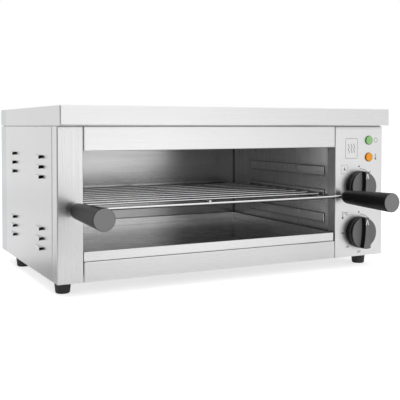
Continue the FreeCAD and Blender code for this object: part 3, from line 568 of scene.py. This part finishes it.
def text(name, words, place, size, weight=0.0):
    """Printed words, centred on a point of the panel."""
    curve = bpy.data.curves.new(name, "FONT")
    curve.body = words
    curve.size = size
    curve.align_x = "CENTER"
    curve.align_y = "CENTER"
    curve.extrude = INK_HEIGHT / 2
    curve.offset = weight
    curve.resolution_u = LETTER_STEPS
    holder = new_object(name + "_curve", curve)
    holder.location = (place[0], FRONT - INK_HEIGHT / 2, place[1])
    holder.rotation_euler = Euler((math.pi / 2, 0, 0))
    bpy.context.view_layer.update()
    mesh = bpy.data.meshes.new_from_object(holder)
    mesh.transform(holder.matrix_world)
    mesh.materials.clear()
    mesh.materials.append(panel_ink)
    bpy.data.objects.remove(holder)
    piece = new_object(name, mesh)
    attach(piece, "housing")


def stroke(start, end, width=LINE):
    """Rectangle along a line from start to end."""
    a = Vector(start)
    b = Vector(end)
    side = (b - a).normalized().orthogonal() * width / 2
    return [tuple(point) for point in (a - side, b - side, b + side, a + side)]


def dial_point(centre, radius, degrees):
    """Point at an angle clockwise from the top."""
    turn = math.radians(degrees)
    return (centre[0] + radius * math.sin(turn), centre[1] + radius * math.cos(turn))


def disc(centre, radius):
    return [dial_point(centre, radius, 360 * k / DISC_SIDES) for k in range(DISC_SIDES)]


def dial_arc(centre, radius, start, end, pieces=24):
    """Curved line round a centre, as short straight pieces."""
    inner = radius - LINE / 2
    outer = radius + LINE / 2
    rings = []
    for k in range(pieces):
        a = start + (end - start) * k / pieces
        b = start + (end - start) * (k + 1) / pieces
        rings.append([
            dial_point(centre, inner, a),
            dial_point(centre, outer, a),
            dial_point(centre, outer, b),
            dial_point(centre, inner, b),
        ])
    return rings


def dial_marks(name, centre, numbers):
    """Dot, curved line and numbers round a knob."""
    shapes = [disc(dial_point(centre, DOT_REACH, 0), DOT_RADIUS)]
    shapes.extend(dial_arc(centre, ARC_REACH, ARC_START, ARC_END))
    printed(name + "_scale", shapes, panel_ink)
    for degrees, words in numbers:
        text(name + "_number_" + words, words, dial_point(centre, NUMBER_REACH, degrees), NUMBER_SIZE)


def pointer_mark(name, centre, body, knob):
    """White mark on the upper end of the knob's grip."""
    x, z = centre
    half_width = 2.6 * MM
    foot = z + 14.5 * MM
    tip = (x, z + 23.5 * MM)
    width = 1.3 * MM
    shapes = [stroke((x - half_width, foot), tip, width), stroke(tip, (x + half_width, foot), width)]
    printed(name, shapes, white_ink, body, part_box(knob)[0].y)


def clock_icon(centre):
    """Square frame with a clock's hands in it."""
    x, z = centre
    half_width = 7.0 * MM
    half_height = 7.4 * MM
    hand = 0.9 * MM
    ring = [(x + half_width * a, z + half_height * b) for a, b in ((-1, -1), (1, -1), (1, 1), (-1, 1))]
    frame_lines = [stroke(a, b) for a, b in zip(ring, ring[1:] + ring[:1])]
    printed("timer_icon_frame", frame_lines, pale_ink)
    hands = [
        disc(centre, 1.5 * MM),
        stroke((x, z - 0.6 * MM), (x, z + 3.6 * MM), hand),
        stroke((x - 0.3 * MM, z), (x + 2.4 * MM, z - 1.6 * MM), hand),
    ]
    printed("timer_icon_hands", hands, panel_ink)


def thermometer(name, centre, height, radius):
    """Bulb with an upright tube. radius is the bulb's, and the tube is as wide."""
    x, z = centre
    left = x - radius / 2
    right = x + radius / 2
    bulb = z - height / 2 + radius
    top = z + height / 2
    shapes = [
        disc((x, bulb), radius),
        stroke((left, bulb), (left, top)),
        stroke((right, bulb), (right, top)),
        stroke((left, top), (right, top)),
    ]
    printed(name, shapes, panel_ink)


def rounded_outline(centre, half_width, half_height, corner):
    """Outline of a rectangle with round corners."""
    x, z = centre
    across = half_width - corner
    up = half_height - corner
    shapes = [
        stroke((x - across, z - half_height), (x + across, z - half_height)),
        stroke((x - across, z + half_height), (x + across, z + half_height)),
        stroke((x - half_width, z - up), (x - half_width, z + up)),
        stroke((x + half_width, z - up), (x + half_width, z + up)),
    ]
    for side_x, side_z, start in ((1, 1, 0), (1, -1, 90), (-1, -1, 180), (-1, 1, 270)):
        shapes.extend(dial_arc((x + side_x * across, z + side_z * up), corner, start, start + 90, 6))
    return shapes


def heat_wave(x, z):
    """Wavy upright line of two waves, round a point."""
    swing = 1.3 * MM
    height = 16.0 * MM
    width = 1.0 * MM
    steps = 16
    shares = [step / steps for step in range(steps + 1)]
    points = [(x + swing * math.sin(share * 4 * math.pi), z + (share - 0.5) * height) for share in shares]
    return [stroke(a, b, width) for a, b in zip(points, points[1:])]


def heat_badge(centre):
    """Plain rounded outline with three wavy lines of rising heat."""
    x, z = centre
    wave_pitch = 6.0 * MM
    shapes = rounded_outline(centre, half_width=13.0 * MM, half_height=17.5 * MM, corner=2.5 * MM)
    for k in (-1, 0, 1):
        shapes.extend(heat_wave(x + k * wave_pitch, z))
    printed("heat_badge", shapes, faint_ink)


dial_marks("timer", TIMER_CENTRE, ((45, "5"), (90, "10"), (135, "15"), (225, "25")))
dial_marks("thermostat", THERMOSTAT_CENTRE,
           ((90, "100"), (135, "150"), (180, "200"), (225, "250"), (270, "300")))
clock_icon(CLOCK_PLACE)
thermometer("thermostat_icon", THERMOMETER_PLACE, height=12.5 * MM, radius=1.9 * MM)
text("thermostat_unit", "°C", DEGREES_PLACE, size=7.5 * MM, weight=0.12 * MM)
printed("green_lamp_symbol", dial_arc(GREEN_SIGN_PLACE, radius=3.8 * MM, start=0, end=360), panel_ink)
thermometer("orange_lamp_symbol", ORANGE_SIGN_PLACE, height=10.0 * MM, radius=1.7 * MM)
heat_badge(BADGE_PLACE)
pointer_mark("timer_pointer", TIMER_CENTRE, "timer", "timer_knob")
pointer_mark("thermostat_pointer", THERMOSTAT_CENTRE, "thermostat", "thermostat_knob")


# Studio

def toward(tree, direction, azimuth, rise, level, wide, narrow):
    """Level inside a cone, 1 outside it."""
    heading = math.radians(azimuth)
    axis = Vector((math.sin(heading), -math.cos(heading), rise)).normalized()
    near = vector_node(tree, "DOT_PRODUCT", direction, axis)
    start = math.cos(math.radians(wide))
    end = math.cos(math.radians(narrow))
    return ramp(tree, near.outputs["Value"], 1.0, level, start, end, smooth=True)


def room_level(tree, direction):
    """How bright metal shows the studio in a direction."""
    return times(tree, *[toward(tree, direction, *cone) for cone in (DARK_ROOM, LEFT_WALL, RIGHT_WALL)])


def painted_floor_shadow_level(tree, place):
    """Level of the painted shadow on the floor, 1 round it."""
    middle = tuple(part * squeeze for part, squeeze in zip(PAINTED_SHADOW_PLACE, PAINTED_SHADOW_SQUEEZE))
    squeezed = vector_node(tree, "MULTIPLY", place, PAINTED_SHADOW_SQUEEZE)
    distance = vector_node(tree, "DISTANCE", squeezed.outputs["Vector"], middle)
    return ramp(tree, distance.outputs["Value"], PAINTED_SHADOW_LEVEL, 1.0, *PAINTED_SHADOW_RANGE, smooth=True)


def floor_material():
    """Pale floor that shows white to the camera, and keeps the shadow. Metal shows it as the room is, with a
    painted shadow beside the object's left side.
    """
    made = bpy.data.materials.new("floor_white")
    made.use_nodes = True
    tree = made.node_tree
    tree.nodes.clear()
    path = tree.nodes.new("ShaderNodeLightPath")
    gloss = path.outputs["Is Glossy Ray"]
    seen = any_of(tree, path.outputs["Is Camera Ray"], gloss, path.outputs["Is Transmission Ray"])
    place = tree.nodes.new("ShaderNodeTexCoord").outputs["Object"]
    way = vector_node(tree, "NORMALIZE", place).outputs["Vector"]
    distance = vector_node(tree, "LENGTH", place).outputs["Value"]
    away = ramp(tree, distance, 0.0, 1.0, *ROOM_RANGE)
    # Painted shadow on the floor beside the object, seen only in metal
    level = times(tree, choice(tree, away, 1.0, room_level(tree, way)), painted_floor_shadow_level(tree, place))
    far = any_of(tree, ramp(tree, distance, 0.0, FAR_GLOW, *FAR_RANGE),
                 along(tree, "Y", 0.0, SIDE_GLOW, *SIDE_RANGE))
    diffuse = tree.nodes.new("ShaderNodeBsdfDiffuse")
    shade = choice(tree, gloss, 1.0, level)
    tree.links.new(blend(tree, shade, grey(0.0), grey(FLOOR_TONE)), diffuse.inputs["Color"])
    glow = tree.nodes.new("ShaderNodeEmission")
    shown = times(tree, choice(tree, gloss, 1.0, times(tree, level, far)), seen)
    tree.links.new(choice(tree, shown, 0.0, FLOOR_GLOW), glow.inputs["Strength"])
    both = tree.nodes.new("ShaderNodeAddShader")
    out = tree.nodes.new("ShaderNodeOutputMaterial")
    tree.links.new(diffuse.outputs["BSDF"], both.inputs[0])
    tree.links.new(glow.outputs["Emission"], both.inputs[1])
    tree.links.new(both.outputs["Shader"], out.inputs["Surface"])
    return made


def studio_floor():
    half = FLOOR_SIZE / 2
    mesh = bpy.data.meshes.new("floor")
    corners = [(-half, -half, 0), (half, -half, 0), (half, half, 0), (-half, half, 0)]
    mesh.from_pydata(corners, [], [[0, 1, 2, 3]])
    mesh.materials.append(floor_material())
    new_object("floor", mesh)


def studio_world():
    """White to the camera. Metal shows the room's levels, and the rest gets the room's light."""
    world = bpy.data.worlds.new("studio")
    bpy.context.scene.world = world
    world.use_nodes = True
    tree = world.node_tree
    tree.nodes.clear()
    path = tree.nodes.new("ShaderNodeLightPath")
    place = tree.nodes.new("ShaderNodeTexCoord")
    level = room_level(tree, place.outputs["Generated"])
    seen = any_of(tree, path.outputs["Is Camera Ray"], path.outputs["Is Transmission Ray"])
    strength = choice(tree, seen, choice(tree, path.outputs["Is Glossy Ray"], ROOM_LIGHT, level), 1.0)
    light = tree.nodes.new("ShaderNodeBackground")
    out = tree.nodes.new("ShaderNodeOutputWorld")
    light.inputs["Color"].default_value = (1.0, 1.0, 1.0, 1.0)
    tree.links.new(strength, light.inputs["Strength"])
    tree.links.new(light.outputs["Background"], out.inputs["Surface"])


def softbox(name, place, target, size, power):
    """Square lamp that metal doesn't show."""
    lamp = bpy.data.lights.new(name, "AREA")
    lamp.shape = "SQUARE"
    lamp.size = size
    lamp.energy = power
    holder = new_object(name, lamp)
    holder.location = place
    holder.rotation_euler = (Vector(target) - Vector(place)).to_track_quat("-Z", "Y").to_euler()
    holder.visible_glossy = False


def photo_camera():
    """Camera at the photograph's place and angle."""
    view = bpy.data.cameras.new("camera")
    view.lens = CAMERA_LENS
    view.sensor_width = CAMERA_SENSOR
    view.sensor_fit = "HORIZONTAL"
    view.shift_y = CAMERA_SHIFT_Y
    camera = new_object("camera", view)
    camera.location = CAMERA_PLACE
    camera.rotation_euler = Euler((math.radians(90 - CAMERA_PITCH), 0, -math.radians(CAMERA_YAW)))
    bpy.context.scene.camera = camera


studio_floor()
studio_world()
softbox("front_softbox", *FRONT_SOFTBOX)
softbox("top_softbox", *TOP_SOFTBOX)
photo_camera()
bpy.context.scene.view_settings.view_transform = "Standard"
